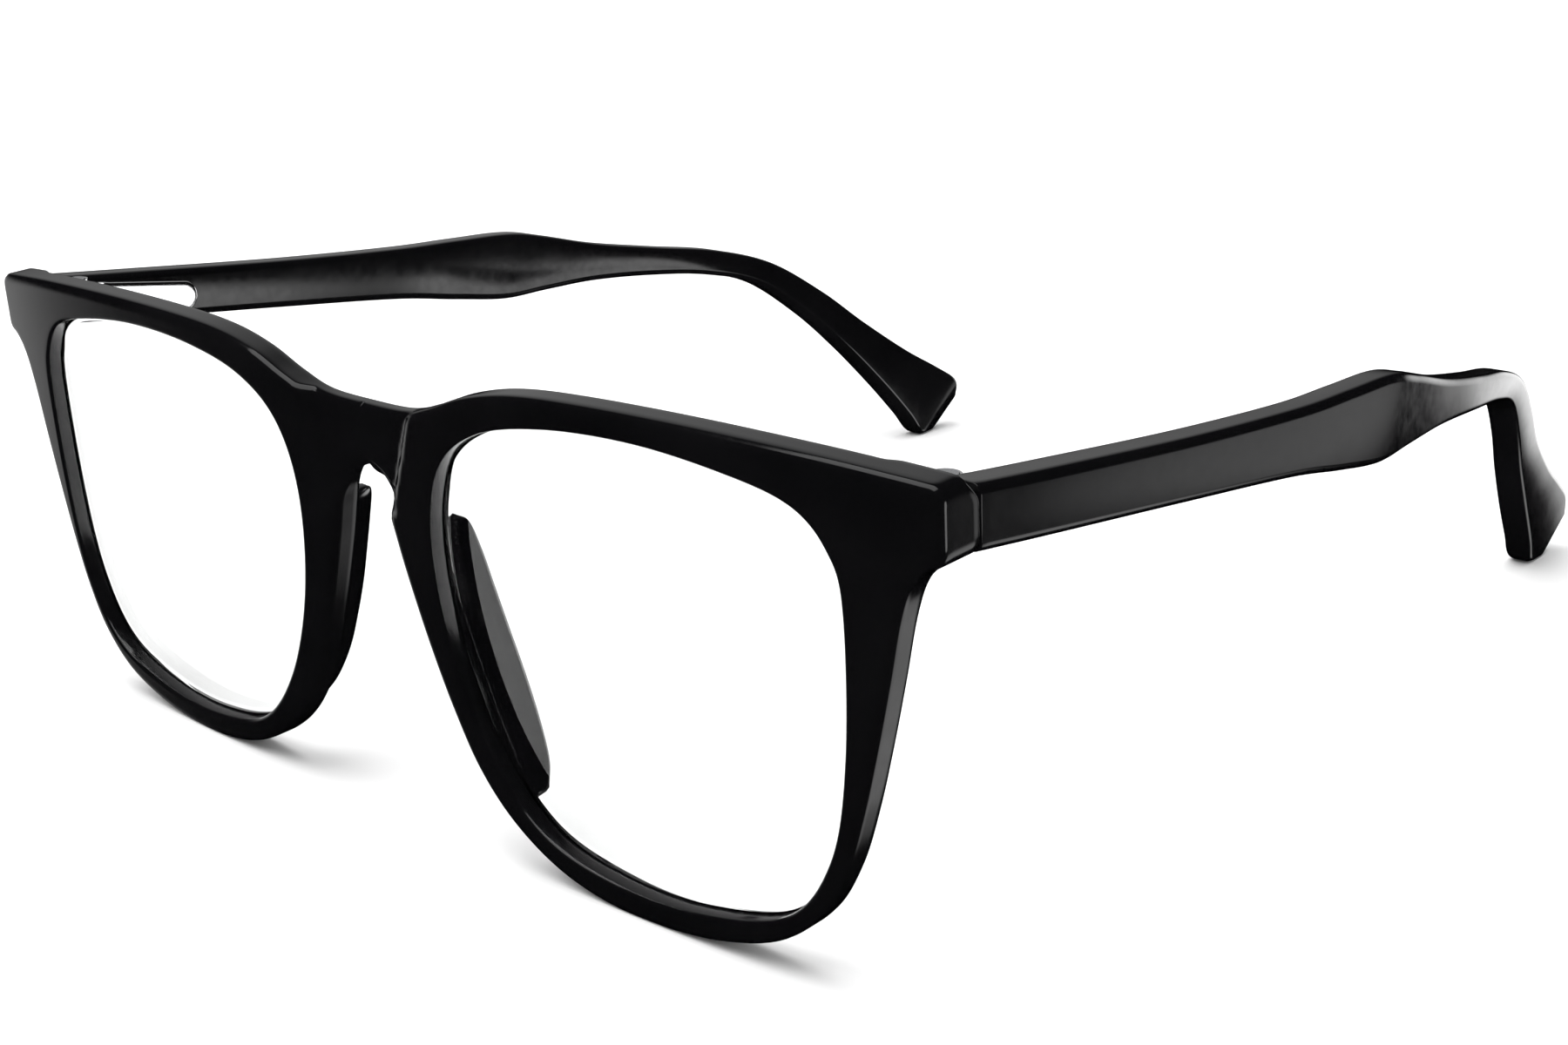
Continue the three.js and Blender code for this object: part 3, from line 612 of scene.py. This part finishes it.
def housing_outline():
    """The housing from the side as (y, z): square in front and round at the rear."""
    h = HOUSING_HALF_HEIGHT
    front_y, rear_y = HOUSING_Y
    arc = np.array([(rear_y - h + h * math.cos(a), h * math.sin(a))
                    for a in np.linspace(math.pi / 2, -math.pi / 2, HOUSING_ARC_POINTS)])
    corners = [arc[-1], (front_y, -h), (front_y, h), arc[0]]
    bottom, front, top = [
        np.linspace(start, end, HOUSING_SIDE_POINTS + 1)[:-1]
        for start, end in zip(corners[:-1], corners[1:])
    ]
    return np.vstack([front, top, arc[:-1], bottom])


def inset_towards(line, centre, inset):
    """The outline drawn in by a distance on every side."""
    half = (line.max(axis=0) - line.min(axis=0)) / 2
    return centre + (line - centre) * (half - inset) / half


def build_housing(name, mirror):
    """The polished pill on the inner side of the temple."""
    line = housing_outline()
    centre = np.array([sum(HOUSING_Y) / 2, 0])
    face_x, seat_x = HOUSING_X
    levels = [(face_x, inset) for inset in HOUSING_FLAT_RINGS]
    for angle in np.linspace(0, math.pi / 2, 6):
        levels.append((face_x + HOUSING_ROUND * (1 - math.cos(angle)),
                       HOUSING_ROUND * (1 - math.sin(angle))))
    rings = [np.column_stack([np.full(len(line), x), inset_towards(line, centre, inset)])
             for x, inset in levels]
    rings.append(np.column_stack([np.full(len(line), seat_x), line]))
    matrix = temple_to_world(mirror)
    piece = ring_solid(name, rings, matrix)
    for low, high in HOUSING_HOLLOWS:
        hollow_out(piece, low, high, matrix)
    return piece


def hollow_out(piece, low, high, matrix):
    """Takes a box-shaped hollow out of a piece."""
    corners = [(x, y, z) for x in (low[0], high[0]) for y in (low[1], high[1])
               for z in (low[2], high[2])]
    sides = [(0, 1, 3, 2), (4, 6, 7, 5), (0, 4, 5, 1), (2, 3, 7, 6), (0, 2, 6, 4), (1, 5, 7, 3)]
    cutter = mesh_object("cutter", corners, sides, matrix)
    cut = piece.modifiers.new("hollow", "BOOLEAN")
    cut.operation = "DIFFERENCE"
    cut.solver = "EXACT"
    cut.object = cutter
    graph = bpy.context.evaluated_depsgraph_get()
    hollowed = bpy.data.meshes.new_from_object(piece.evaluated_get(graph))
    piece.modifiers.remove(cut)
    piece.data = hollowed
    bpy.data.objects.remove(cutter)


# ------------------------------------------------------------ materials


def new_material(name):
    material = bpy.data.materials.new(name)
    material.use_nodes = True
    tree = material.node_tree
    return material, tree, tree.nodes["Principled BSDF"]


def add_noise(tree, scale, detail, stretch=(1, 1, 1)):
    """Noise over the object's own coordinates, as a factor."""
    coords = tree.nodes.new("ShaderNodeTexCoord")
    mapping = tree.nodes.new("ShaderNodeMapping")
    mapping.inputs["Scale"].default_value = stretch
    noise = tree.nodes.new("ShaderNodeTexNoise")
    noise.inputs["Scale"].default_value = scale
    noise.inputs["Detail"].default_value = detail
    tree.links.new(coords.outputs["Object"], mapping.inputs["Vector"])
    tree.links.new(mapping.outputs["Vector"], noise.inputs["Vector"])
    return noise.outputs["Fac"]


def vary(tree, socket, factor, low, high, start=0.3, end=0.7):
    """Runs a value or colour from low to high as the factor goes from start to end."""
    ramp = tree.nodes.new("ShaderNodeValToRGB")
    for element, position, value in zip(ramp.color_ramp.elements, (start, end), (low, high)):
        colour = value if isinstance(value, tuple) else (value, value, value)
        element.position = position
        element.color = (*colour, 1)
    tree.links.new(factor, ramp.inputs["Fac"])
    tree.links.new(ramp.outputs["Color"], socket)


def add_bump(tree, shader, height, strength, distance):
    bump = tree.nodes.new("ShaderNodeBump")
    bump.inputs["Strength"].default_value = strength
    bump.inputs["Distance"].default_value = distance
    tree.links.new(height, bump.inputs["Height"])
    tree.links.new(bump.outputs["Normal"], shader.inputs["Normal"])


def acetate_material():
    """Polished black acetate, with slight waves left by the polishing."""
    material, tree, shader = new_material("black_acetate")
    depth = add_noise(tree, scale=60, detail=6)
    vary(tree, shader.inputs["Base Color"], depth,
         (0.0022, 0.0022, 0.0026), (0.0045, 0.0044, 0.005))
    polish = add_noise(tree, scale=900, detail=3)
    vary(tree, shader.inputs["Roughness"], polish, 0.09, 0.15)
    shader.inputs["IOR"].default_value = 1.49
    waves = add_noise(tree, scale=220, detail=2)
    add_bump(tree, shader, waves, strength=0.05, distance=0.00005)
    return material


def metal_material(name, colour, smooth, rough, stretch):
    """Metal with brush marks, whose roughness varies between two values."""
    material, tree, shader = new_material(name)
    shader.inputs["Metallic"].default_value = 1
    tone = add_noise(tree, scale=300, detail=4)
    darker = tuple(c * 0.9 for c in colour)
    vary(tree, shader.inputs["Base Color"], tone, darker, colour)
    brush = add_noise(tree, scale=1500, detail=5, stretch=stretch)
    vary(tree, shader.inputs["Roughness"], brush, smooth, rough)
    add_bump(tree, shader, brush, strength=0.08, distance=0.00002)
    return material


def lens_material():
    """Clear plastic that lets light through to what is behind it without a dark shadow."""
    material, tree, shader = new_material("clear_lens")
    shader.inputs["Transmission Weight"].default_value = 1
    shader.inputs["IOR"].default_value = 1.5
    haze = add_noise(tree, scale=400, detail=4)
    vary(tree, shader.inputs["Roughness"], haze, 0.0, 0.004)
    tint = add_noise(tree, scale=30, detail=2)
    vary(tree, shader.inputs["Base Color"], tint, (0.985, 0.995, 0.99), (1, 1, 1))
    output = tree.nodes["Material Output"]
    light_path = tree.nodes.new("ShaderNodeLightPath")
    clear = tree.nodes.new("ShaderNodeBsdfTransparent")
    mix = tree.nodes.new("ShaderNodeMixShader")
    tree.links.new(light_path.outputs["Is Shadow Ray"], mix.inputs["Fac"])
    tree.links.new(shader.outputs["BSDF"], mix.inputs[1])
    tree.links.new(clear.outputs["BSDF"], mix.inputs[2])
    tree.links.new(mix.outputs["Shader"], output.inputs["Surface"])
    return material


def floor_material():
    material, tree, shader = new_material("pale_table")
    grain = add_noise(tree, scale=40, detail=3)
    vary(tree, shader.inputs["Base Color"], grain, (0.93, 0.93, 0.93), (0.96, 0.96, 0.96))
    shader.inputs["Roughness"].default_value = 0.9
    shader.inputs["Specular IOR Level"].default_value = 0
    return material


def paint(piece, material):
    piece.data.materials.clear()
    piece.data.materials.append(material)


# ------------------------------------------------------------ stage


def build_floor():
    half = TABLE_HALF
    corners = [(-half, -half, 0), (half, -half, 0), (half, half, 0), (-half, half, 0)]
    mesh = bpy.data.meshes.new("table")
    mesh.from_pydata(corners, [], [(0, 1, 2, 3)])
    table = bpy.data.objects.new("table", mesh)
    bpy.context.scene.collection.objects.link(table)
    paint(table, floor_material())
    table.visible_glossy = False


def build_camera():
    azimuth = math.radians(CAMERA_AZIMUTH)
    elevation = math.radians(CAMERA_ELEVATION)
    forward = Vector((-math.sin(azimuth) * math.cos(elevation),
                      math.cos(azimuth) * math.cos(elevation), -math.sin(elevation)))
    right = Vector(CAMERA_RIGHT)
    right = (right - forward * right.dot(forward)).normalized()
    up = right.cross(forward)
    turn = Matrix((right, up, -forward)).transposed()
    data = bpy.data.cameras.new("camera")
    data.sensor_width = CAMERA_SENSOR
    data.lens = CAMERA_LENS
    data.shift_x, data.shift_y = CAMERA_SHIFT
    data.clip_start, data.clip_end = CAMERA_CLIP
    camera = bpy.data.objects.new("camera", data)
    bpy.context.scene.collection.objects.link(camera)
    place = FRONT_TO_WORLD @ Vector(CAMERA_PLACE)
    camera.matrix_world = Matrix.Translation(place) @ TILT @ turn.to_4x4()
    bpy.context.scene.camera = camera


def panel_strength(tree, coords, direction, inner, outer, brightness):
    """The brightness of one reflection panel, which fades from its inner to its outer angle."""
    facing = tree.nodes.new("ShaderNodeVectorMath")
    facing.operation = "DOT_PRODUCT"
    facing.inputs[1].default_value = Vector(direction).normalized()
    tree.links.new(coords.outputs["Generated"], facing.inputs[0])
    fade = tree.nodes.new("ShaderNodeMapRange")
    fade.interpolation_type = "SMOOTHSTEP"
    fade.inputs["From Min"].default_value = math.cos(math.radians(outer))
    fade.inputs["From Max"].default_value = math.cos(math.radians(inner))
    fade.inputs["To Max"].default_value = brightness
    tree.links.new(facing.outputs["Value"], fade.inputs["Value"])
    return fade.outputs["Result"]


def studio_world():
    """An even white fill, with soft panels that only show in reflections."""
    world = bpy.data.worlds.new("studio")
    world.use_nodes = True
    tree = world.node_tree
    background = tree.nodes["Background"]
    background.inputs["Color"].default_value = (1, 1, 1, 1)
    coords = tree.nodes.new("ShaderNodeTexCoord")
    total = panel_strength(tree, coords, *PANELS[0])
    for panel in PANELS[1:]:
        strength = panel_strength(tree, coords, *panel)
        add = tree.nodes.new("ShaderNodeMath")
        tree.links.new(total, add.inputs[0])
        tree.links.new(strength, add.inputs[1])
        total = add.outputs["Value"]
    path = tree.nodes.new("ShaderNodeLightPath")
    choose = tree.nodes.new("ShaderNodeMix")
    choose.inputs["A"].default_value = FILL_LIGHT
    tree.links.new(path.outputs["Is Glossy Ray"], choose.inputs["Factor"])
    tree.links.new(total, choose.inputs["B"])
    tree.links.new(choose.outputs["Result"], background.inputs["Strength"])
    return world


def build_overhead():
    """A broad light from above, which doesn't show in reflections."""
    data = bpy.data.lights.new("overhead", "SUN")
    data.energy = OVERHEAD_POWER
    data.angle = math.radians(OVERHEAD_SPREAD)
    light = bpy.data.objects.new("overhead", data)
    light.rotation_euler = [math.radians(angle) for angle in OVERHEAD_TURN]
    light.visible_glossy = False
    bpy.context.scene.collection.objects.link(light)


def build_top_box():
    """A soft box above and in front of the glasses, aimed at them."""
    elevation = math.radians(TOP_BOX_ELEVATION)
    away = Vector((0, -math.cos(elevation), math.sin(elevation)))
    data = bpy.data.lights.new("top_box", "AREA")
    data.shape = "RECTANGLE"
    data.size, data.size_y = TOP_BOX_SIZE
    data.energy = TOP_BOX_POWER
    light = bpy.data.objects.new("top_box", data)
    light.location = TOP_BOX_TARGET + away * TOP_BOX_DISTANCE
    light.rotation_mode = "QUATERNION"
    light.rotation_quaternion = (-away).to_track_quat("-Z", "Y")
    light.visible_camera = False
    bpy.context.scene.collection.objects.link(light)


# ------------------------------------------------------------ putting it together

build_camera()
build_floor()
build_overhead()
build_top_box()
bpy.context.scene.world = studio_world()
bpy.context.scene.view_settings.view_transform = "Standard"

ACETATE = acetate_material()
LENS = lens_material()
POLISHED = metal_material("polished_nickel", (0.86, 0.86, 0.87),
                          smooth=0.08, rough=0.2, stretch=(1, 12, 1))
SCREW = metal_material("machined_steel", (0.6, 0.61, 0.63),
                       smooth=0.22, rough=0.4, stretch=(1, 1, 9))
SPRING = metal_material("drawn_spring_wire", (0.5, 0.51, 0.53),
                        smooth=0.25, rough=0.42, stretch=(1, 6, 1))

# The CAD nodes that are shown as they are, with a material put on them.
CAD_MATERIALS = [
    ("front_hinge", POLISHED), ("spring_slider", POLISHED), ("hinge_screw", SCREW),
    ("spring_stop", SCREW), ("return_spring", SPRING), ("core_wire", SPRING),
]


def add_piece(piece, body, node, material):
    paint(piece, material)
    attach(piece, body)
    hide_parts(node)


add_piece(build_front(), "front", "front_frame", ACETATE)
for suffix, flip in SIDES:
    arm = f"temple_arm_{suffix}"
    lens = build_lens(f"clear_lens_{suffix}", flip)
    pad = build_pad(f"acetate_pad_{suffix}", flip)
    temple = build_temple(f"acetate_temple_{suffix}", flip)
    housing = build_housing(f"polished_housing_{suffix}", flip)
    add_piece(lens, "front", f"lens_{suffix}", LENS)
    add_piece(pad, "front", f"nose_pad_{suffix}", ACETATE)
    add_piece(temple, arm, f"temple_{suffix}", ACETATE)
    add_piece(housing, arm, f"spring_housing_{suffix}", POLISHED)
    for node, material in CAD_MATERIALS:
        paint(frame["nodes"][f"{node}_{suffix}"], material)
